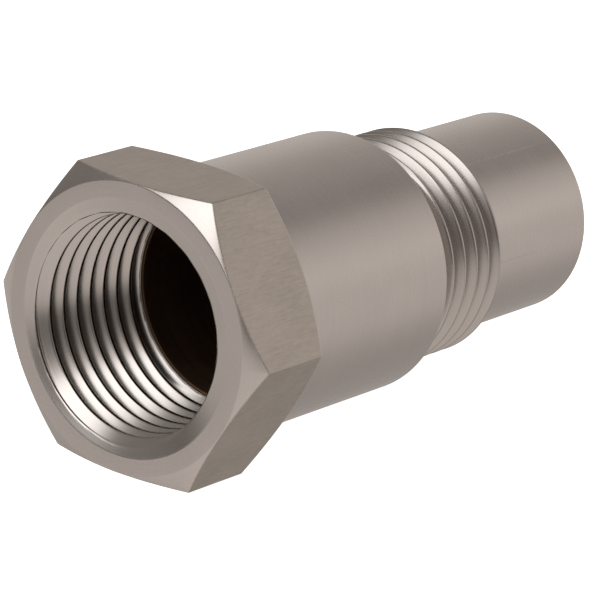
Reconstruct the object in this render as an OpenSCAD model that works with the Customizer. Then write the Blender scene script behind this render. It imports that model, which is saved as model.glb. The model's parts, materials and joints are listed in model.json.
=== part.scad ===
// Oxygen sensor spacer: a hexagon-headed threaded adapter that moves an M18 exhaust sensor
// out of the gas stream, with a small wound-foil catalyst held in its nose by a wire ring.
// The axis lies along +X. The origin is the centre of the hexagon's front face, where the
// sensor's gasket seats. Two of the hexagon's flats are level, and the part lies on the lower.
// Both threads are drawn as rings of the true profile, one per turn, with no helix.

/* [Hexagon head] */
// Width of the hexagon across its flats
hex_across_flats = 22; // [21:0.5:24]
// Length of the head at the middle of each flat
head_length = 8; // [7:0.5:10]
// Angle between the head's corner chamfers and its end faces
corner_chamfer_angle = 30; // [20:5:40]

/* [Shank] */
// Diameter of the plain round body
body_diameter = 20.3; // [19.5:0.1:20.7]
// Distance from the front face to the seat shoulder
shoulder_position = 25.65; // [24.6:0.05:26.4]
// Chamfer on the shoulder's rim
shoulder_chamfer = 0.25; // [0.1:0.05:0.5]
// Depth of the undercut in the shoulder, between the seat and the thread
undercut_depth = 0.15; // [0.1:0.05:0.3]

/* [Threads] */
// Major diameter of both threads
thread_diameter = 18; // [17.8:0.1:18.2]
// Pitch of both threads
thread_pitch = 1.5; // [1.25, 1.5]
// Diameter of the countersink at the socket's mouth
mouth_diameter = 19.3; // [18.6:0.1:19.8]
// Position of the first groove of the socket thread
socket_first_groove = 0.45; // [0.35:0.05:0.45]
// Number of full grooves in the socket thread, before its run-out
socket_turns = 7; // [5:1:7]
// Position of the first crest of the plug thread
plug_first_crest = 27.85; // [27.5:0.05:28]
// Number of crests on the plug thread
plug_turns = 5; // [3:1:5]

/* [Nose] */
// Overall length of the spacer
overall_length = 47; // [45.5:0.5:50]
// Diameter of the plain nose
nose_diameter = 16; // [15.8:0.1:16.1]
// Chamfer on the inner and outer rims of the nose
nose_chamfer = 0.3; // [0.1:0.05:0.4]

/* [Gas passage] */
// Depth of the threaded socket
socket_depth = 11.4; // [11.4:0.1:12]
// Diameter of the chamber around the sensor's tip
chamber_diameter = 15.8; // [15:0.1:15.9]
// Position of the chamber's far end
chamber_end = 24; // [20:0.5:24]
// Diameter of the throat between the chamber and the catalyst
throat_diameter = 13.2; // [12.5:0.1:13.4]

/* [Catalyst] */
// Outside diameter of the catalyst's mantle
mantle_diameter = 14; // [13.8:0.1:14.1]
// Length of the mantle
mantle_length = 12.5; // [10:0.5:12.5]
// Wall thickness of the mantle
mantle_wall = 0.3; // [0.2:0.05:0.35]
// Thickness of both foils
foil_thickness = 0.1; // [0.08:0.01:0.12]
// Distance from one turn of the flat foil to the next
layer_pitch = 1.2; // [1:0.05:1.4]
// Length of one wave of the corrugated foil
wave_length = 2; // [1.8:0.1:2.4]
// Depth of the foils below each end of the mantle
foil_recess = 0.4; // [0.2:0.1:1]

/* [Retaining ring] */
// Diameter of the ring's wire
wire_diameter = 1; // [0.8:0.1:1]
// Width of the opening between the ring's ends
ring_opening = 5; // [3:0.5:7]

/* [Hidden] */
$fn = 96;

// head
apothem = hex_across_flats / 2;
corner_radius = apothem / cos(30);
chamfer_slope = tan(corner_chamfer_angle);
// the chamfer's circle on each end face lies just inside the flats
face_radius = apothem - 0.05;
chamfer_reach = corner_radius + 0.5;
body_radius = body_diameter / 2;

// threads, with 60 degree flanks
major_radius = thread_diameter / 2;
minor_radius = major_radius - 0.541266 * thread_pitch;
plug_root_radius = major_radius - 0.613435 * thread_pitch;
// the undercut is a little wider than the thread, so that the seat is clear of its ridges
undercut_radius = major_radius + 0.1;
flank_slope = tan(30);
crest_half = thread_pitch / 16;
plug_end = plug_first_crest + (plug_turns - 1) * thread_pitch + crest_half;
// the socket thread's last groove runs out at half its depth
run_out_position = socket_first_groove + socket_turns * thread_pitch;
run_out_radius = (major_radius + minor_radius) / 2;

// passage
mouth_radius = mouth_diameter / 2;
mouth_slope = tan(70);
chamber_radius = chamber_diameter / 2;
throat_radius = throat_diameter / 2;
nose_radius = nose_diameter / 2;
mantle_radius = mantle_diameter / 2;
pocket_radius = mantle_radius + 0.02;
// free length of the nose behind the ring's groove
ring_setback = 1.4;
groove_width = wire_diameter + 0.1;
groove_end = overall_length - ring_setback;
groove_start = groove_end - groove_width;
groove_radius = mantle_radius + 0.4;
mantle_start = groove_start - mantle_length;

// foils
mantle_bore = mantle_radius - mantle_wall;
foil_core = 0.8;
foil_gap = 0.04;
spiral_end_radius = mantle_bore - foil_gap - foil_thickness / 2;
spiral_turns = (spiral_end_radius - foil_core) / layer_pitch;
wave_depth = (layer_pitch - 2 * foil_thickness) / 2 - foil_gap;
foil_length = mantle_length - 2 * foil_recess;
flat_step = 6;
points_per_wave = 8;

// One thread ridge or groove as four points of [radius, position]
function thread_form(position, tip_radius, base_radius) =
    let (reach = abs(tip_radius - base_radius) * flank_slope)
    [
        [base_radius, position - crest_half - reach],
        [tip_radius, position - crest_half],
        [tip_radius, position + crest_half],
        [base_radius, position + crest_half + reach]
    ];

// All the turns of one thread, one thread form per pitch
function thread_forms(first, turns, tip_radius, base_radius) = [
    for (turn = [0 : turns - 1])
        for (point = thread_form(first + turn * thread_pitch, tip_radius, base_radius))
            point
];

// Turns a solid drawn along +Z to lie along +X
module along_x() {
    rotate([0, 90, 0]) children();
}

// The hexagon, with its corners chamfered at both ends
module hexagon_head() {
    intersection() {
        rotate(30) cylinder(r = corner_radius, h = head_length + apothem, $fn = 6);
        rotate_extrude() polygon([
            [0, 0],
            [face_radius, 0],
            [chamfer_reach, (chamfer_reach - face_radius) * chamfer_slope],
            [chamfer_reach, head_length - (chamfer_reach - apothem) * chamfer_slope],
            [0, head_length + apothem * chamfer_slope]
        ]);
    }
}

// Everything behind the head: round body, seat shoulder, undercut, plug thread and nose
module turned_shank() {
    rotate_extrude() polygon(concat(
        [
            [0, 1],
            [body_radius, 1],
            [body_radius, shoulder_position - shoulder_chamfer],
            [body_radius - shoulder_chamfer, shoulder_position],
            [undercut_radius, shoulder_position],
            [undercut_radius, shoulder_position - undercut_depth],
            [plug_root_radius, shoulder_position - undercut_depth]
        ],
        thread_forms(plug_first_crest, plug_turns, major_radius, plug_root_radius),
        [
            [nose_radius, plug_end + major_radius - nose_radius],
            [nose_radius, overall_length - nose_chamfer],
            [nose_radius - nose_chamfer, overall_length],
            [0, overall_length]
        ]
    ));
}

// The empty space inside: socket, sensor chamber, throat, catalyst pocket and ring groove
module gas_passage() {
    rotate_extrude() polygon(concat(
        [[0, -1], [minor_radius, -1]],
        thread_forms(socket_first_groove, socket_turns, major_radius, minor_radius),
        thread_form(run_out_position, run_out_radius, minor_radius),
        [
            [minor_radius, socket_depth],
            [chamber_radius, socket_depth],
            [chamber_radius, chamber_end],
            [throat_radius, chamber_end + chamber_radius - throat_radius],
            [throat_radius, mantle_start],
            [pocket_radius, mantle_start],
            [pocket_radius, groove_start],
            [groove_radius, groove_start],
            [groove_radius, groove_end],
            [pocket_radius, groove_end],
            [pocket_radius, overall_length - nose_chamfer],
            [pocket_radius + nose_chamfer + 1, overall_length + 1],
            [0, overall_length + 1]
        ]
    ));
}

// The 140 degree countersink at the socket's mouth
module mouth_countersink() {
    rotate_extrude() polygon([
        [0, -1],
        [mouth_radius + mouth_slope, -1],
        [0, mouth_radius / mouth_slope]
    ]);
}

// The steel housing, turned from one piece of hexagon bar
module housing() {
    color([0.60, 0.57, 0.54]) along_x() difference() {
        union() {
            hexagon_head();
            turned_shank();
        }
        gas_passage();
        mouth_countersink();
    }
}

// The thin tube that holds the wound foils
module catalyst_mantle() {
    color([0.55, 0.53, 0.50]) along_x() translate([0, 0, mantle_start]) difference() {
        cylinder(r = mantle_radius, h = mantle_length);
        translate([0, 0, -1]) cylinder(r = mantle_bore, h = mantle_length + 2);
    }
}

// A point of the flat foil's spiral, shifted outward by offset
function flat_point(angle, offset) =
    (foil_core + layer_pitch * angle / 360 + offset) * [cos(angle), sin(angle)];

// The angle that the spiral has turned through after a length of foil
function angle_at(length) =
    (sqrt(foil_core ^ 2 + layer_pitch * length / PI) - foil_core) * 360 / layer_pitch;

// A point on the middle line of the corrugated foil, which weaves between two flat turns
function wave_point(length) =
    let (
        angle = angle_at(length),
        middle = foil_core + layer_pitch * (angle / 360 + 0.5),
        radius = middle + wave_depth * sin(360 * length / wave_length)
    )
    radius * [cos(angle), sin(angle)];

// The same point shifted square to the foil
function wave_side(length, offset) =
    let (
        ahead = wave_point(length + 0.01) - wave_point(length - 0.01),
        across = [ahead[1], -ahead[0]] / norm(ahead)
    )
    wave_point(length) + offset * across;

// A foil's cross-section, drawn out along the catalyst
module foil(section) {
    along_x() translate([0, 0, mantle_start + foil_recess])
        linear_extrude(foil_length) polygon(section);
}

// The flat foil, wound into a spiral
module flat_foil() {
    angles = [0 : flat_step : 360 * spiral_turns];
    inner = [for (angle = angles) flat_point(angle, -foil_thickness / 2)];
    outer = [for (angle = angles) flat_point(angle, foil_thickness / 2)];
    last = len(outer) - 1;
    color([0.62, 0.55, 0.45]) foil(concat(inner, [for (i = [0 : last]) outer[last - i]]));
}

// The corrugated foil, wound between the turns of the flat one
module corrugated_foil() {
    turns = spiral_turns - 1;
    wound = PI * turns * (2 * foil_core + layer_pitch * turns);
    step = wave_length / points_per_wave;
    lengths = [step : step : wound];
    inner = [for (length = lengths) wave_side(length, -foil_thickness / 2)];
    outer = [for (length = lengths) wave_side(length, foil_thickness / 2)];
    last = len(outer) - 1;
    color([0.58, 0.51, 0.42]) foil(concat(inner, [for (i = [0 : last]) outer[last - i]]));
}

// The open wire ring that keeps the catalyst in its pocket
module retaining_ring() {
    color([0.50, 0.49, 0.48]) along_x() translate([0, 0, groove_start + groove_width / 2])
        difference() {
            rotate_extrude() translate([groove_radius - 0.02 - wire_diameter / 2, 0])
                circle(d = wire_diameter);
            translate([0, -ring_opening / 2, -wire_diameter])
                cube([groove_radius + 1, ring_opening, 2 * wire_diameter]);
        }
}

housing();
catalyst_mantle();
flat_foil();
corrugated_foil();
retaining_ring();
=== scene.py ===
"""Looks of a threaded oxygen sensor spacer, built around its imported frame.

The axis lies along +X from the socket's mouth to the nose, and +Z is up.
Angles around the axis start at +Y and grow towards +Z.
"""

import json
import math

import bmesh
import bpy
import numpy as np
from bpy.props import FloatProperty, FloatVectorProperty, IntProperty, PointerProperty
from mathutils import Matrix, Vector


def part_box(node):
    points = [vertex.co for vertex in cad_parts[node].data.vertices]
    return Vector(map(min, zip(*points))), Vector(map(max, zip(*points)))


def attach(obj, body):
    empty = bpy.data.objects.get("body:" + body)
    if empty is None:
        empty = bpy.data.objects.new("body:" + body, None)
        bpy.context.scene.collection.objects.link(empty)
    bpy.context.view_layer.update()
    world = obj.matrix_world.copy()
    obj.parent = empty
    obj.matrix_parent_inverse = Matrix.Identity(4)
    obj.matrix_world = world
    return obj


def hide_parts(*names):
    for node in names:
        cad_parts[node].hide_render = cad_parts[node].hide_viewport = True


bl_info = {
    "name": "Threaded sensor spacer",
    "version": (1, 0, 0),
    "blender": (4, 5, 0),
    "location": "3D View > Sidebar > Spacer",
    "description": "Builds the housing, catalyst, wire ring and stage of a sensor spacer",
    "category": "Object",
}

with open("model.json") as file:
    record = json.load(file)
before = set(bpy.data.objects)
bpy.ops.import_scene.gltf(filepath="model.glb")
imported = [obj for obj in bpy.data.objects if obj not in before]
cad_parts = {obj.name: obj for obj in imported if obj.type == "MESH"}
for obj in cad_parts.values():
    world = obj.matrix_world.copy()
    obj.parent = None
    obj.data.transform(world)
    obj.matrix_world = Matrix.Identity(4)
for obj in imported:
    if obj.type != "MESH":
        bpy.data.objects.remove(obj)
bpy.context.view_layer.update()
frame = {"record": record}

MM = 0.001
FULL_TURN = 2 * math.pi
SECTOR = FULL_TURN / 6
FLANK_SLOPE = math.tan(math.radians(30))
MOUTH_SLOPE = math.tan(math.radians(70))

MOUNTS = {mount["name"]: mount for mount in frame["record"]["mounts"]}
HOUSING_LOW, HOUSING_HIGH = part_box("housing")
MANTLE_LOW, MANTLE_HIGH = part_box("catalyst_mantle")
FOIL_LOW, FOIL_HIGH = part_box("flat_foil")
RING_LOW, RING_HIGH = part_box("retaining_ring")

# the finishes of the housing, in the order of its material slots
TURNED, DRAWN, THREADED, BORED, TAPPED = range(5)

# how the meshes are divided
COLUMNS_PER_SECTOR = 40
CORNER_ANGLE = math.radians(0.25)
ROWS_PER_PITCH = 18
EASE_STEPS = 3
MANTLE_COLUMNS = 192
FOIL_STEPS_PER_TURN = 120
WIRE_STATIONS = 160
WIRE_CORNERS = 32
WELD_DISTANCE = 1e-7

# depth of a 60 degree thread as a share of its pitch, and half of the flat on its tip
INTERNAL_DEPTH = 0.541266
EXTERNAL_DEPTH = 0.613435
HALF_TIP = 1 / 16

# where the two threads meet the rest of the housing, and how far before the socket's end its
# thread stops
PLUG_START = 26.4 * MM
PLUG_END = 34.95 * MM
SOCKET_START = 0.06 * MM
SOCKET_REST = 0.08 * MM

# the grain of the steel: how far its marks are drawn out, and the scales of its other noises
RING_STRETCH = 0.01
STREAK_STRETCH = 0.12
CLOUD_SCALE = 260
SPECK_SCALE = 2600


# ---------------------------------------------------------------- sizes and colours


def length(label, about, default):
    """A length that a user may change, in metres."""
    return FloatProperty(
        name=label, description=about, default=default, min=0, unit="LENGTH", precision=5
    )


def colour(label, about, default):
    """A colour that a user may change."""
    return FloatVectorProperty(
        name=label, description=about, default=default, size=3, min=0, max=1, subtype="COLOR"
    )


class HousingSettings(bpy.types.PropertyGroup):
    """Sizes and finishes of the steel housing"""

    head_length: length("Head length", "Length of the hexagon at mid-flat", 8 * MM)
    body_diameter: length("Body diameter", "Diameter of the round body", 20.3 * MM)
    thread_pitch: length("Pitch", "Pitch of both threads", 1.5 * MM)
    mouth_diameter: length("Mouth", "Diameter of the countersink at the mouth", 19.3 * MM)
    socket_depth: length("Socket depth", "Depth of the threaded socket", 11.4 * MM)
    chamber_diameter: length("Chamber", "Diameter of the chamber", 15.8 * MM)
    throat_diameter: length("Throat", "Diameter of the throat", 13.2 * MM)
    edge_ease: length("Edge ease", "Rounding of the worn edges", 0.09 * MM)
    turned_colour: colour("Turned steel", "Colour of turned faces", (0.58, 0.54, 0.515))
    drawn_colour: colour("Drawn steel", "Colour of the hexagon's flats", (0.53, 0.482, 0.438))
    # the plug thread's colour is darker than the turned steel: painted shade for the dim lower
    # side of the plug
    painted_shade_thread_colour: colour("Plug thread", "Colour of the plug thread", (0.51, 0.475, 0.45))
    socket_colour: colour("Socket thread", "Colour of the tapped socket", (0.565, 0.53, 0.505))
    # the bore's dark colour is painted shade for the unlit inside behind the socket
    painted_shade_bore_colour: colour("Bore", "Colour of the inside behind the socket", (0.22, 0.14, 0.09))


class CatalystSettings(bpy.types.PropertyGroup):
    """Sizes and finishes of the wound-foil catalyst"""

    wall: length("Mantle wall", "Wall thickness of the mantle", 0.3 * MM)
    foil_thickness: length("Foil thickness", "Thickness of both foils", 0.1 * MM)
    layer_pitch: length("Layer pitch", "Distance between turns of the flat foil", 1.2 * MM)
    wave_length: length("Wave length", "Length of one wave of the foil", 2 * MM)
    points_per_wave: IntProperty(
        name="Points per wave", description="How finely a wave is drawn", default=20, min=8
    )
    mantle_colour: colour("Mantle", "Colour of the rolled mantle", (0.50, 0.46, 0.41))
    coat_colour: colour("Washcoat", "Colour of the coated foils", (0.36, 0.30, 0.23))


class RingSettings(bpy.types.PropertyGroup):
    """Sizes and finish of the wire ring that holds the catalyst"""

    opening: length("Opening", "Width between the ring's ends", 5 * MM)
    wire_colour: colour("Spring wire", "Colour of the wire", (0.50, 0.49, 0.47))


class StageSettings(bpy.types.PropertyGroup):
    """Floor, light and camera"""

    camera_distance: length("Camera distance", "From the camera to its aim point", 321.2 * MM)
    camera_aim: FloatVectorProperty(
        name="Camera aim", description="Point in the middle of the view", size=3,
        default=(21.8 * MM, 0.8 * MM, -2.6 * MM), subtype="TRANSLATION", unit="LENGTH",
        precision=5,
    )
    camera_azimuth: FloatProperty(
        name="Azimuth", description="Direction of the camera around Z, from -Y towards +X",
        default=math.radians(-53.17), subtype="ANGLE",
    )
    camera_elevation: FloatProperty(
        name="Elevation", description="Height of the camera above the horizon",
        default=math.radians(18.53), subtype="ANGLE",
    )
    camera_roll: FloatProperty(
        name="Roll", description="Turn of the camera about its own axis",
        default=math.radians(5.14), subtype="ANGLE",
    )
    camera_lens: FloatProperty(
        name="Lens", description="Focal length on a 36 mm sensor", default=252.8, unit="CAMERA"
    )
    floor_colour: colour("Floor", "Colour of the floor", (0.95, 0.95, 0.95))


# ---------------------------------------------------------------- profiles and shells


def eased(corners):
    """Rounds a profile's corners, each given as (position, radius, ease, finish after it)."""
    points = []
    finishes = []
    last = len(corners) - 1
    longest_share = 0.45
    for index, (position, radius, ease, finish) in enumerate(corners):
        here = Vector((position, radius))
        if ease == 0 or index in (0, last):
            points.append(here)
            finishes.append(finish)
            continue
        to_last = Vector(corners[index - 1][:2]) - here
        to_next = Vector(corners[index + 1][:2]) - here
        start = here + to_last.normalized() * min(ease, longest_share * to_last.length)
        end = here + to_next.normalized() * min(ease, longest_share * to_next.length)
        for step in range(EASE_STEPS + 1):
            t = step / EASE_STEPS
            points.append(start * (1 - t) ** 2 + here * 2 * t * (1 - t) + end * t ** 2)
            finishes.append(finish)
    return points, finishes


def hexagon_angles():
    """Angles of the mesh's columns, with one more on each side of every hexagon corner."""
    angles = []
    for corner in range(6):
        start = corner * SECTOR
        angles += [start, start + CORNER_ANGLE]
        angles += [start + SECTOR * n / COLUMNS_PER_SECTOR for n in range(1, COLUMNS_PER_SECTOR)]
        angles.append(start + SECTOR - CORNER_ANGLE)
    return np.array(angles)


class TurnedShell:
    """Strips of one closed surface around the axis, welded into a mesh at the end."""

    def __init__(self, angles):
        self.angles = angles
        self.points = []
        self.faces = []
        self.finishes = []

    def strip(self, columns, finishes, rows_per_turn=0):
        """Adds a strip: for each angle, a row of [position, radius], and the finish of each row.

        A thread climbs by rows_per_turn rows in one turn.
        """
        first = len(self.points)
        rows = len(finishes)
        for angle, column in zip(self.angles, columns):
            for position, radius in column:
                self.points.append(
                    (position, radius * math.cos(angle), radius * math.sin(angle))
                )
        count = len(self.angles)
        for here in range(count):
            following = (here + 1) % count
            climb = rows_per_turn if following == 0 else 0
            for row in range(-climb, rows - 1):
                low = max(row, 0)
                high = max(row + 1, 0)
                next_low = min(row + climb, rows - 1)
                next_high = min(row + 1 + climb, rows - 1)
                corners = (
                    first + here * rows + low,
                    first + here * rows + high,
                    first + following * rows + next_high,
                    first + following * rows + next_low,
                )
                distinct = tuple(dict.fromkeys(corners))
                if len(distinct) > 2:
                    self.faces.append(distinct)
                    self.finishes.append(finishes[low])

    def mesh(self, name):
        """Welds the strips and gives the closed mesh."""
        mesh = bpy.data.meshes.new(name)
        mesh.from_pydata(self.points, [], self.faces)
        mesh.polygons.foreach_set("material_index", self.finishes)
        weld(mesh)
        return mesh


def weld(mesh):
    """Joins points that coincide, turns the faces outward and smooths their shading."""
    shape = bmesh.new()
    shape.from_mesh(mesh)
    bmesh.ops.remove_doubles(shape, verts=shape.verts, dist=WELD_DISTANCE)
    bmesh.ops.dissolve_degenerate(shape, edges=shape.edges, dist=WELD_DISTANCE)
    bmesh.ops.recalc_face_normals(shape, faces=shape.faces)
    open_edges = sum(1 for edge in shape.edges if len(edge.link_faces) != 2)
    if open_edges:
        raise RuntimeError(f"{mesh.name} isn't closed: {open_edges} edges lack a second face")
    for face in shape.faces:
        face.smooth = True
    shape.to_mesh(mesh)
    shape.free()


def piece(name, mesh, materials, slot, *nodes):
    """Puts a mesh in the scene as a piece that stands for CAD nodes."""
    made = bpy.data.objects.new(name, mesh)
    bpy.context.scene.collection.objects.link(made)
    for material in materials:
        mesh.materials.append(material)
    shading = made.modifiers.new("Even shading", "WEIGHTED_NORMAL")
    shading.mode = "FACE_AREA"
    shading.keep_sharp = True
    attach(made, "root")
    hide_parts(*nodes)


# ---------------------------------------------------------------- housing


def thread_rows(pitch, centre, turns, tip, base, tip_ease, base_ease, lean=0):
    """Rows of a thread at angle 0: positions and radii of its forms, and rows per turn.

    With lean, the flank on the +X side of the tip is that much longer than the true form's.
    """
    tip_half = pitch * HALF_TIP
    reach = abs(tip - base) * FLANK_SLOPE
    corners = [
        (-pitch / 2, base, 0, THREADED),
        (-tip_half - reach, base, base_ease, THREADED),
        (-tip_half, tip, tip_ease, THREADED),
        (tip_half, tip, tip_ease, THREADED),
        (tip_half + reach * (1 + lean), base, base_ease, THREADED),
        (pitch / 2, base, 0, THREADED),
    ]
    outline, _ = eased(corners)
    form = []
    for here, following in zip(outline, outline[1:]):
        parts = max(1, math.ceil((following - here).length / (pitch / ROWS_PER_PITCH)))
        form += [here.lerp(following, part / parts) for part in range(parts)]
    offsets = np.array([point.x for point in form])
    radii = np.array([point.y for point in form])
    positions = np.concatenate([centre + turn * pitch + offsets for turn in range(turns)])
    return positions, np.tile(radii, turns), len(form)


def thread_columns(angles, rows, pitch, start, end, limit):
    """The columns of a helical thread between two positions, held within its limit."""
    positions, radii, _ = rows
    columns = []
    for angle in angles:
        along = np.clip(positions + pitch * angle / FULL_TURN, start, end)
        columns.append(np.stack([along, limit(along, radii)], axis=1))
    return columns


def add_head_and_body(shell, sizes, shoulder, root, end):
    """Front face, hexagon, round body, seat shoulder and undercut."""
    apothem = HOUSING_HIGH.z
    worn_corner = HOUSING_HIGH.y - 0.03 * MM
    # the chamfer's circle on the front face lies just inside the flats
    face_radius = apothem - 0.05 * MM
    body = sizes.body_diameter / 2
    mouth = sizes.mouth_diameter / 2
    ease = sizes.edge_ease
    rim = SOCKET_START
    shoulder_chamfer = 0.25 * MM
    clearance = 0.1 * MM
    undercut_radius = MOUNTS["plug_thread"]["dims"]["r_mm"] * MM + clearance
    undercut_depth = 0.15 * MM
    columns = []
    for angle in shell.angles:
        flat = apothem / math.cos(angle % SECTOR - SECTOR / 2)
        flat = min(flat, worn_corner)
        front = (flat - face_radius) * FLANK_SLOPE
        rear = sizes.head_length - (flat - apothem) * FLANK_SLOPE
        neck = sizes.head_length + (apothem - body) * FLANK_SLOPE
        outline, finishes = eased([
            (rim, mouth - rim * MOUTH_SLOPE, 0, TURNED),
            (0, mouth, rim, TURNED),
            (0, face_radius, ease, TURNED),
            (front, flat, ease, DRAWN),
            (rear, flat, ease, TURNED),
            (neck, body, ease, TURNED),
            (shoulder - shoulder_chamfer, body, ease, TURNED),
            (shoulder, body - shoulder_chamfer, ease, TURNED),
            (shoulder, undercut_radius, ease / 2, TURNED),
            (shoulder - undercut_depth, undercut_radius, ease / 2, TURNED),
            (shoulder - undercut_depth, root, ease, TURNED),
            (end, root, 0, TURNED),
        ])
        columns.append([tuple(point) for point in outline])
    shell.strip(columns, finishes)


def add_nose_and_passage(shell, sizes, start, nose, end, minor):
    """Nose, its end, the ring's groove, catalyst pocket, throat and chamber."""
    length_overall = HOUSING_HIGH.x
    chamfer = 0.3 * MM
    press_gap = 0.02 * MM
    groove_depth = 0.38 * MM
    pocket = MANTLE_HIGH.y + press_gap
    groove = pocket + groove_depth
    middle = (RING_LOW.x + RING_HIGH.x) / 2
    half = 0.55 * MM
    throat = sizes.throat_diameter / 2
    chamber = sizes.chamber_diameter / 2
    chamber_end = 24 * MM
    ease = sizes.edge_ease
    outline, finishes = eased([
        (start, nose, 0, TURNED),
        (length_overall - chamfer, nose, ease, TURNED),
        (length_overall, nose - chamfer, ease, TURNED),
        (length_overall, pocket + chamfer, ease, TURNED),
        (length_overall - chamfer, pocket, ease, TURNED),
        (middle + half, pocket, ease / 2, TURNED),
        (middle + half, groove, ease, TURNED),
        (middle - half, groove, ease, TURNED),
        (middle - half, pocket, ease / 2, TURNED),
        (MANTLE_LOW.x, pocket, ease / 3, TURNED),
        (MANTLE_LOW.x, throat, ease, BORED),
        (chamber_end + chamber - throat, throat, ease, BORED),
        (chamber_end, chamber, ease, BORED),
        (sizes.socket_depth, chamber, ease, BORED),
        (sizes.socket_depth, minor, ease, TAPPED),
        (end, minor, 0, TAPPED),
    ])
    column = [tuple(point) for point in outline]
    shell.strip([column] * len(shell.angles), finishes)


def add_plug_thread(shell, sizes, start, root, end, nose):
    """The external thread, with a run-out at the relief and a lead-in at the nose."""
    pitch = sizes.thread_pitch
    major = MOUNTS["plug_thread"]["dims"]["r_mm"] * MM
    first_crest = 27.85 * MM
    crest_angle = math.radians(165)
    at_zero = first_crest - pitch * crest_angle / FULL_TURN
    spare_turns = 3
    turns = 10
    tip_ease = 0.08 * MM
    base_ease = 0.12 * MM
    first = at_zero - spare_turns * pitch
    rows = thread_rows(pitch, first, turns, major, root, tip_ease, base_ease)
    run_out = 26.75 * MM
    lead_in = 34.2 * MM
    lead_slope = (major - nose) / (end - lead_in)

    def limit(along, radii):
        relief = root + np.maximum(along - run_out, 0)
        lead = major - np.maximum(along - lead_in, 0) * lead_slope
        return np.minimum(np.minimum(radii, relief), lead)

    columns = thread_columns(shell.angles, rows, pitch, start, end, limit)
    shell.strip(columns, [THREADED] * len(rows[0]), rows[2])


def add_socket_thread(shell, sizes, start, end, minor):
    """The internal thread, from the mouth's countersink to the step at the socket's end."""
    pitch = sizes.thread_pitch
    major = minor + INTERNAL_DEPTH * pitch
    mouth = sizes.mouth_diameter / 2
    first_groove = 2.05 * MM
    groove_angle = math.radians(5)
    at_zero = first_groove - pitch * groove_angle / FULL_TURN
    spare_turns = 3
    turns = 12
    tip_ease = 0.08 * MM
    base_ease = 0.1 * MM
    lean = 0.16
    first = at_zero - spare_turns * pitch
    rows = thread_rows(pitch, first, turns, major, minor, tip_ease, base_ease, lean)
    run_out_slope = 2

    def limit(along, radii):
        run_out = minor + (end - along) * run_out_slope
        return np.maximum(np.minimum(radii, run_out), mouth - along * MOUTH_SLOPE)

    columns = thread_columns(shell.angles, rows, pitch, start, end, limit)
    shell.strip(columns, [TAPPED] * len(rows[0]), rows[2])


class SPACER_OT_housing(bpy.types.Operator):
    """Build the turned steel housing with its two helical threads"""

    bl_idname = "spacer.housing"
    bl_label = "Housing"

    def execute(self, context):
        sizes = context.scene.spacer_housing
        shoulder = MOUNTS["bung_seat"]["pos_m"][0]
        nose = MOUNTS["nose"]["dims"]["r_mm"] * MM
        minor = MOUNTS["sensor_thread"]["dims"]["r_mm"] * MM
        major = MOUNTS["plug_thread"]["dims"]["r_mm"] * MM
        root = major - EXTERNAL_DEPTH * sizes.thread_pitch
        socket_end = sizes.socket_depth - SOCKET_REST
        shell = TurnedShell(hexagon_angles())
        add_head_and_body(shell, sizes, shoulder, root, PLUG_START)
        add_plug_thread(shell, sizes, PLUG_START, root, PLUG_END, nose)
        add_nose_and_passage(shell, sizes, PLUG_END, nose, socket_end, minor)
        add_socket_thread(shell, sizes, SOCKET_START, socket_end, minor)
        finishes = [
            turned_steel(sizes.turned_colour),
            drawn_steel(sizes.drawn_colour),
            # darker steel on the plug thread: painted shade for its dim lower side
            cut_thread_steel_painted_shade(sizes.painted_shade_thread_colour),
            # dark steel in the bore: painted shade for its unlit inside
            bored_steel_painted_shade(sizes.painted_shade_bore_colour),
            tapped_steel(sizes.socket_colour),
        ]
        piece("housing_body", shell.mesh("housing_body"), finishes, "turned_steel", "housing")
        return {"FINISHED"}


# ---------------------------------------------------------------- catalyst and ring


def lathe(name, corners, columns):
    """A closed ring turned from a closed profile of (position, radius, ease) corners."""
    only_finish = 0
    closed = [(*corner, only_finish) for corner in corners]
    loop, _ = eased([closed[-1], *closed, closed[0]])
    loop = loop[1:-1]
    loop.append(loop[0])
    shell = TurnedShell(np.linspace(0, FULL_TURN, columns, endpoint=False))
    column = [tuple(point) for point in loop]
    shell.strip([column] * columns, [only_finish] * len(column))
    return shell.mesh(name)


class SPACER_OT_mantle(bpy.types.Operator):
    """Build the rolled steel mantle around the foils"""

    bl_idname = "spacer.mantle"
    bl_label = "Catalyst mantle"

    def execute(self, context):
        sizes = context.scene.spacer_catalyst
        outer = MANTLE_HIGH.y
        inner = outer - sizes.wall
        ease = sizes.wall / 3
        mesh = lathe("catalyst_tube", [
            (MANTLE_LOW.x, inner, ease),
            (MANTLE_HIGH.x, inner, ease),
            (MANTLE_HIGH.x, outer, ease),
            (MANTLE_LOW.x, outer, ease),
        ], MANTLE_COLUMNS)
        finish = rolled_steel(sizes.mantle_colour)
        piece("catalyst_tube", mesh, [finish], "mantle_steel", "catalyst_mantle")
        return {"FINISHED"}


def wound_point(angle, radius):
    """A point of the catalyst's cross-section, which the winding starts at the bottom."""
    return Vector((radius * math.sin(angle), -radius * math.cos(angle)))


def drawn_mesh(name, points, around):
    """A bar with closed ends, from its cross-sections of this many points, end to end."""
    faces = [tuple(range(around))]
    last = len(points) - around
    for base in range(0, last, around):
        for corner in range(around):
            following = (corner + 1) % around
            faces.append((
                base + corner, base + around + corner,
                base + around + following, base + following,
            ))
    faces.append(tuple(last + corner for corner in reversed(range(around))))
    mesh = bpy.data.meshes.new(name)
    mesh.from_pydata(points, [], faces)
    weld(mesh)
    return mesh


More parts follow.
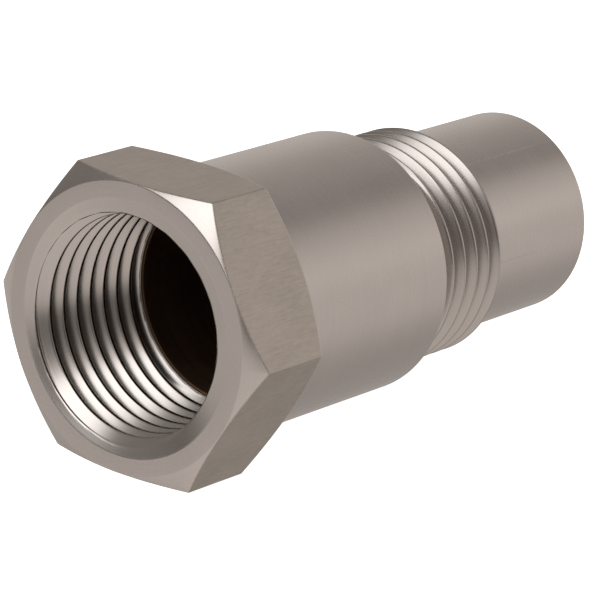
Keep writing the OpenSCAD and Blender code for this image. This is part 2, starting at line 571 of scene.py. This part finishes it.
def sheet_mesh(name, path, thickness):
    """A thin sheet that follows a path across the axis, for the length of the foils."""
    ahead = [b - a for a, b in zip(path, path[1:])]
    ahead.append(ahead[-1])
    behind = [ahead[0], *ahead[:-1]]
    side = [(a + b).orthogonal().normalized() * thickness / 2 for a, b in zip(ahead, behind)]
    lip = thickness / 4
    lip_share = 0.5
    sections = [
        (FOIL_LOW.x, lip_share),
        (FOIL_LOW.x + lip, 1),
        (FOIL_HIGH.x - lip, 1),
        (FOIL_HIGH.x, lip_share),
    ]
    points = []
    for point, offset in zip(path, side):
        for position, share in sections:
            points.append((position, *(point + offset * share)))
        for position, share in reversed(sections):
            points.append((position, *(point - offset * share)))
    return drawn_mesh(name, points, 2 * len(sections))


class SPACER_OT_foils(bpy.types.Operator):
    """Wind the flat foil and the corrugated foil"""

    bl_idname = "spacer.foils"
    bl_label = "Catalyst foils"

    def execute(self, context):
        sizes = context.scene.spacer_catalyst
        core = 0.8 * MM
        gap = 0.04 * MM
        pitch = sizes.layer_pitch
        thick = sizes.foil_thickness
        outermost = MANTLE_HIGH.y - sizes.wall - gap - thick / 2
        turns = (outermost - core) / pitch
        steps = math.ceil(turns * FOIL_STEPS_PER_TURN)
        flat_path = []
        for step in range(steps + 1):
            angle = FULL_TURN * turns * step / steps
            flat_path.append(wound_point(angle, core + pitch * angle / FULL_TURN))
        wave_depth = (pitch - 2 * thick) / 2 - gap
        wound = math.pi * (turns - 1) * (2 * core + pitch * (turns - 1))
        stride = sizes.wave_length / sizes.points_per_wave
        wave_path = []
        for step in range(1, int(wound / stride)):
            run = step * stride
            angle = (math.sqrt(core ** 2 + pitch * run / math.pi) - core) * FULL_TURN / pitch
            middle = core + pitch * (angle / FULL_TURN + 1 / 2)
            swing = wave_depth * math.sin(FULL_TURN * run / sizes.wave_length)
            wave_path.append(wound_point(angle, middle + swing))
        finish = washcoated_foil(sizes.coat_colour)
        flat = sheet_mesh("foil_flat", flat_path, thick)
        wave = sheet_mesh("foil_wave", wave_path, thick)
        piece("foil_flat", flat, [finish], "coated_foil", "flat_foil")
        piece("foil_wave", wave, [finish], "coated_foil", "corrugated_foil")
        return {"FINISHED"}


class SPACER_OT_ring(bpy.types.Operator):
    """Bend the open wire ring that holds the catalyst in the nose"""

    bl_idname = "spacer.ring"
    bl_label = "Retaining ring"

    def execute(self, context):
        sizes = context.scene.spacer_ring
        wire = (RING_HIGH.x - RING_LOW.x) / 2
        centre = (RING_HIGH.x + RING_LOW.x) / 2
        bend = RING_HIGH.y - wire
        half_gap = math.asin(sizes.opening / 2 / bend)
        tip = wire / 4
        tip_angle = tip / bend
        tip_share = 0.3
        start = half_gap
        end = FULL_TURN - half_gap
        eased_wire = wire - tip * tip_share
        stations = [(start, wire - tip), (start + tip_angle * tip_share, eased_wire)]
        for step in range(WIRE_STATIONS + 1):
            inner = (end - start - 2 * tip_angle) * step / WIRE_STATIONS
            stations.append((start + tip_angle + inner, wire))
        stations += [(end - tip_angle * tip_share, eased_wire), (end, wire - tip)]
        points = []
        for angle, radius in stations:
            for corner in range(WIRE_CORNERS):
                turn = FULL_TURN * corner / WIRE_CORNERS
                across = bend + radius * math.cos(turn)
                spot = wound_point(angle, across)
                points.append((centre + radius * math.sin(turn), *spot))
        mesh = drawn_mesh("wire_ring", points, WIRE_CORNERS)
        finish = spring_wire(sizes.wire_colour)
        piece("wire_ring", mesh, [finish], "spring_wire", "retaining_ring")
        return {"FINISHED"}


# ---------------------------------------------------------------- shader maths


class Wire:
    """A socket of a node tree. Sums and products of wires and numbers add Math nodes."""

    def __init__(self, tree, socket=None):
        self.tree = tree
        self.socket = socket

    def node(self, kind, settings=None, values=None, output=0):
        """Adds a node, sets it up, fills or links its inputs, and gives one of its outputs."""
        made = self.tree.nodes.new(kind)
        for name, setting in (settings or {}).items():
            setattr(made, name, setting)
        for name, value in (values or {}).items():
            if isinstance(value, Wire):
                self.tree.links.new(value.socket, made.inputs[name])
            else:
                made.inputs[name].default_value = value
        return Wire(self.tree, made.outputs[output] if made.outputs else None)

    def math(self, operation, *values):
        """A Math node on these values."""
        return self.node("ShaderNodeMath", {"operation": operation}, dict(enumerate(values)))

    def __add__(self, other):
        return self.math("ADD", self, other)

    __radd__ = __add__

    def __sub__(self, other):
        return self.math("SUBTRACT", self, other)

    def __rsub__(self, other):
        return self.math("SUBTRACT", other, self)

    def __mul__(self, other):
        return self.math("MULTIPLY", self, other)

    __rmul__ = __mul__

    def __pow__(self, other):
        return self.math("POWER", self, other)

    def parts(self):
        """The three components of a vector."""
        apart = self.node("ShaderNodeSeparateXYZ", values={"Vector": self})
        return [Wire(self.tree, output) for output in apart.socket.node.outputs]

    def between(self, low, high):
        """0 below low, 1 above high, and a smooth rise in between."""
        return self.node(
            "ShaderNodeMapRange", {"interpolation_type": "SMOOTHSTEP"},
            {"Value": self, "From Min": low, "From Max": high},
        )


def tinted(wire, factor, low, high):
    """A colour between two, by a factor that varies over the surface."""
    return wire.node(
        "ShaderNodeMix", {"data_type": "RGBA"},
        {"Factor": factor, 6: (*low, 1), 7: (*high, 1)}, output=2,
    )


def steel(name, base, depth, grain_scale, relief, roughness, spread, turned):
    """A steel finish with fine grain: rings around the axis if turned, else streaks along it.

    Depth is how far its colour varies, relief the height of its grain and spread how far its
    roughness varies.
    """
    material = bpy.data.materials.new(name)
    material.use_nodes = True
    tree = material.node_tree
    tree.nodes.clear()
    start = Wire(tree)
    place = start.node("ShaderNodeTexCoord", output=3)
    x, y, z = place.parts()
    radius = (y * y + z * z) ** 0.5
    if turned:
        fine = place.node("ShaderNodeCombineXYZ", values={
            "X": x * grain_scale,
            "Y": radius * grain_scale,
            "Z": y * grain_scale * RING_STRETCH,
        })
    else:
        fine = place.node("ShaderNodeCombineXYZ", values={
            "X": x * grain_scale * STREAK_STRETCH,
            "Y": y * grain_scale,
            "Z": z * grain_scale,
        })
    grain = place.node(
        "ShaderNodeTexNoise", values={"Vector": fine, "Scale": 1, "Detail": 3, "Roughness": 0.6}
    )
    cloud = place.node(
        "ShaderNodeTexNoise", values={"Vector": place, "Scale": CLOUD_SCALE, "Detail": 4}
    )
    speck = place.node(
        "ShaderNodeTexNoise", values={"Vector": place, "Scale": SPECK_SCALE, "Detail": 2}
    )
    shade = grain * 0.5 + cloud * 0.35 + speck * 0.15
    low = [channel * (1 - depth) for channel in base]
    high = [min(channel * (1 + depth), 1) for channel in base]
    surface = tinted(place, shade.between(0.3, 0.7), low, high)
    bump = place.node(
        "ShaderNodeBump", values={
            "Strength": 1, "Distance": relief, "Height": grain * 0.7 + speck * 0.3,
        },
    )
    shader = place.node("ShaderNodeBsdfPrincipled", values={
        "Base Color": surface,
        "Metallic": 1,
        "Roughness": roughness + (cloud - 0.5) * spread + (grain - 0.5) * spread,
        "Normal": bump,
    })
    place.node("ShaderNodeOutputMaterial", values={"Surface": shader})
    return material


def turned_steel(base):
    """Satin faces straight from the lathe, with fine rings around the axis."""
    return steel(
        "turned_steel", base, depth=0.04, grain_scale=9000, relief=0.0004 * MM,
        roughness=0.27, spread=0.08, turned=True,
    )


def drawn_steel(base):
    """The hexagon's cold-drawn flats, with short streaks along the bar."""
    return steel(
        "drawn_steel", base, depth=0.14, grain_scale=6500, relief=0.0012 * MM,
        roughness=0.44, spread=0.12, turned=False,
    )


def cut_thread_steel_painted_shade(base):
    """Steel of the plug thread, smooth from the threading tool; darker as painted shade for its
    dim lower side.
    """
    return steel(
        "cut_thread_steel_painted_shade", base, depth=0.04, grain_scale=9000, relief=0.0003 * MM,
        roughness=0.27, spread=0.06, turned=True,
    )


def tapped_steel(base):
    """Steel of the socket thread, cut by a tap; brighter than the plug thread, whose colour is
    darkened as painted shade.
    """
    return steel(
        "tapped_steel", base, depth=0.04, grain_scale=9000, relief=0.0003 * MM,
        roughness=0.24, spread=0.06, turned=True,
    )


def bored_steel_painted_shade(base):
    """Drilled and bored steel inside, darkened as painted shade for the unlit inside of the
    bore.
    """
    return steel(
        "bored_steel_painted_shade", base, depth=0.15, grain_scale=5000, relief=0.001 * MM,
        roughness=0.6, spread=0.2, turned=True,
    )


def rolled_steel(base):
    """The mantle's thin sheet, lightly tinted by the brazing heat."""
    return steel(
        "rolled_steel", base, depth=0.12, grain_scale=4000, relief=0.001 * MM,
        roughness=0.33, spread=0.18, turned=False,
    )


def spring_wire(base):
    """Drawn spring wire."""
    return steel(
        "spring_wire", base, depth=0.08, grain_scale=6000, relief=0.0006 * MM,
        roughness=0.28, spread=0.12, turned=True,
    )


def washcoated_foil(base):
    """Steel foil under a matt mineral coat, speckled and a little uneven."""
    material = bpy.data.materials.new("washcoated_foil")
    material.use_nodes = True
    tree = material.node_tree
    tree.nodes.clear()
    start = Wire(tree)
    place = start.node("ShaderNodeTexCoord", output=3)
    patch_scale = 500
    grit_scale = 6000
    patch = place.node(
        "ShaderNodeTexNoise", values={"Vector": place, "Scale": patch_scale, "Detail": 4}
    )
    grit = place.node(
        "ShaderNodeTexNoise", values={"Vector": place, "Scale": grit_scale, "Detail": 2}
    )
    shade = patch * 0.5 + grit * 0.5
    darkest = 0.65
    lightest = 1.3
    low = [channel * darkest for channel in base]
    high = [channel * lightest for channel in base]
    surface = tinted(place, shade.between(0.35, 0.65), low, high)
    bump = place.node(
        "ShaderNodeBump", values={"Strength": 0.6, "Distance": 0.02 * MM, "Height": shade},
    )
    shader = place.node("ShaderNodeBsdfPrincipled", values={
        "Base Color": surface,
        "Metallic": 0.3,
        "Roughness": 0.6 + (grit - 0.5) * 0.3,
        "Normal": bump,
    })
    place.node("ShaderNodeOutputMaterial", values={"Surface": shader})
    return material


# ---------------------------------------------------------------- stage

ROOM_TINT = (1, 0.925, 0.87, 1)
WHITE = (1, 1, 1, 1)

# soft patches of light in the room, each as its aim, its width in degrees and its strength
NOSE_PATCHES = (
    ((0.77, -0.5, 0.4), 24, 0.2),
    ((0.75, -0.64, 0.1), 40, 0.06),
    ((0.67, 0.47, 0.57), 35, 0.09),
)
ABOVE_PATCHES = (
    ((-0.61, -0.35, 0.71), 55, 0.34),
    ((-0.94, -0.28, 0.16), 22, 0.45),
)
BELOW_PATCHES = (
    ((-0.6, -0.3, -0.75), 60, 0.16),
)

def plain_floor(colour_of_floor):
    """A level floor just under the hexagon's lowest flat."""
    half = 3.0
    level = HOUSING_LOW.z
    mesh = bpy.data.meshes.new("floor")
    mesh.from_pydata(
        [(-half, -half, level), (half, -half, level), (half, half, level), (-half, half, level)],
        [], [(0, 1, 2, 3)],
    )
    floor = bpy.data.objects.new("floor", mesh)
    bpy.context.scene.collection.objects.link(floor)
    material = bpy.data.materials.new("pale_floor")
    material.use_nodes = True
    tree = material.node_tree
    tree.nodes.clear()
    start = Wire(tree)
    shader = start.node("ShaderNodeBsdfPrincipled", values={
        "Base Color": (*colour_of_floor, 1),
        "Roughness": 0.9,
        "Emission Color": WHITE,
        "Emission Strength": 0.95,
    })
    start.node("ShaderNodeOutputMaterial", values={"Surface": shader})
    mesh.materials.append(material)
    floor.visible_glossy = False


def lobe(direction, aim, width):
    """1 towards aim, falling smoothly to 0 at width away from it."""
    aim = Vector(aim).normalized()
    toward = direction.node(
        "ShaderNodeVectorMath", {"operation": "DOT_PRODUCT"}, {0: direction, 1: aim}, output=1
    )
    return toward.between(math.cos(width), 1)


def patches_added(level, direction, patches):
    """Light with soft patches on it, each given as (aim, width in degrees, strength)."""
    for aim, width, strength in patches:
        level = level + lobe(direction, aim, math.radians(width)) * strength
    return level


def room_light(direction, x, z):
    """How bright the room is: towards the nose, and above and below on the socket's side."""
    toward_nose = 0.62
    upper_drop = z.between(0.05, 0.68) * 0.3
    lower_drop = (0 - z).between(0.3, 0.68) * 0.2
    nose_side = patches_added(toward_nose - upper_drop - lower_drop, direction, NOSE_PATCHES)
    above = patches_added(0.24, direction, ABOVE_PATCHES)
    below = patches_added(0.6, direction, BELOW_PATCHES)
    raised = z.between(-0.08, -0.02)
    socket_side = above * raised + below * (1 - raised)
    # a dark gap along the horizon, and a dim zone beside the lamp
    gap = z.between(-0.17, -0.12) * (1 - z.between(-0.04, 0.04))
    dim = lobe(direction, (-0.8, -0.55, 0.23), math.radians(26))
    socket_side = socket_side * (1 - gap * 0.62) * (1 - dim * 0.95)
    share = x.between(-0.15, 0.35)
    return nose_side * share + socket_side * (1 - share)


def lamp_box(x, y, z):
    """How bright the lamp box is, inside soft edges below, above and on both sides."""
    brightness = 1.6
    least_forward = 0.05
    forward = 0 - x
    sideways = y * forward.math("MAXIMUM", forward, least_forward) ** -1
    return (
        (z + y * 1.2).between(0.16, 0.3)
        * z.between(0.2, 0.3)
        * (1 - z.between(0.82, 0.95))
        * (1 - sideways.between(0.42, 0.88))
        * forward.between(0.1, 0.3)
        * brightness
    )


def soft_surround():
    """Soft studio light from all round, with its lamp box in front of and above the socket."""
    world = bpy.data.worlds.new("soft_surround")
    world.use_nodes = True
    tree = world.node_tree
    tree.nodes.clear()
    start = Wire(tree)
    direction = start.node("ShaderNodeTexCoord", output=0)
    x, y, z = direction.parts()
    room = start.node("ShaderNodeBackground", values={
        "Color": ROOM_TINT, "Strength": room_light(direction, x, z),
    })
    lamp = start.node("ShaderNodeBackground", values={
        "Color": WHITE, "Strength": lamp_box(x, y, z),
    })
    both = start.node("ShaderNodeAddShader", values={0: room, 1: lamp})
    start.node("ShaderNodeOutputWorld", values={"Surface": both})
    bpy.context.scene.world = world


def place_camera(settings):
    """The camera, aimed along its azimuth and elevation, then rolled."""
    azimuth = settings.camera_azimuth
    elevation = settings.camera_elevation
    back = Vector((
        math.sin(azimuth) * math.cos(elevation),
        -math.cos(azimuth) * math.cos(elevation),
        math.sin(elevation),
    ))
    lens = bpy.data.cameras.new("camera")
    lens.lens = settings.camera_lens
    lens.clip_start = 10 * MM
    lens.clip_end = 20
    camera = bpy.data.objects.new("camera", lens)
    aimed = back.to_track_quat("Z", "Y").to_matrix().to_4x4()
    rolled = aimed @ Matrix.Rotation(settings.camera_roll, 4, "Z")
    spot = Vector(settings.camera_aim) + back * settings.camera_distance
    camera.matrix_world = Matrix.Translation(spot) @ rolled
    bpy.context.scene.collection.objects.link(camera)
    bpy.context.scene.camera = camera


class SPACER_OT_stage(bpy.types.Operator):
    """Set up the floor, the light and the camera"""

    bl_idname = "spacer.stage"
    bl_label = "Stage"

    def execute(self, context):
        settings = context.scene.spacer_stage
        context.scene.view_settings.view_transform = "Standard"
        plain_floor(settings.floor_colour)
        soft_surround()
        place_camera(settings)
        return {"FINISHED"}


# ---------------------------------------------------------------- add-on


class SPACER_PT_pieces(bpy.types.Panel):
    """Lists the spacer's pieces and its stage"""

    bl_label = "Sensor spacer"
    bl_idname = "SPACER_PT_pieces"
    bl_space_type = "VIEW_3D"
    bl_region_type = "UI"
    bl_category = "Spacer"

    def draw(self, context):
        for operator in OPERATORS:
            self.layout.operator(operator.bl_idname)
        for name, settings in SETTINGS.items():
            column = self.layout.column()
            for prop in settings.__annotations__:
                column.prop(getattr(context.scene, name), prop)


SETTINGS = {
    "spacer_housing": HousingSettings,
    "spacer_catalyst": CatalystSettings,
    "spacer_ring": RingSettings,
    "spacer_stage": StageSettings,
}
OPERATORS = (
    SPACER_OT_housing, SPACER_OT_mantle, SPACER_OT_foils, SPACER_OT_ring, SPACER_OT_stage,
)


def register():
    for name, settings in SETTINGS.items():
        bpy.utils.register_class(settings)
        setattr(bpy.types.Scene, name, PointerProperty(type=settings))
    for made in (*OPERATORS, SPACER_PT_pieces):
        bpy.utils.register_class(made)


def unregister():
    for made in (SPACER_PT_pieces, *reversed(OPERATORS)):
        bpy.utils.unregister_class(made)
    for name, settings in reversed(SETTINGS.items()):
        delattr(bpy.types.Scene, name)
        bpy.utils.unregister_class(settings)


def main():
    register()
    bpy.ops.spacer.housing()
    bpy.ops.spacer.mantle()
    bpy.ops.spacer.foils()
    bpy.ops.spacer.ring()
    bpy.ops.spacer.stage()


if __name__ == "__main__":
    main()
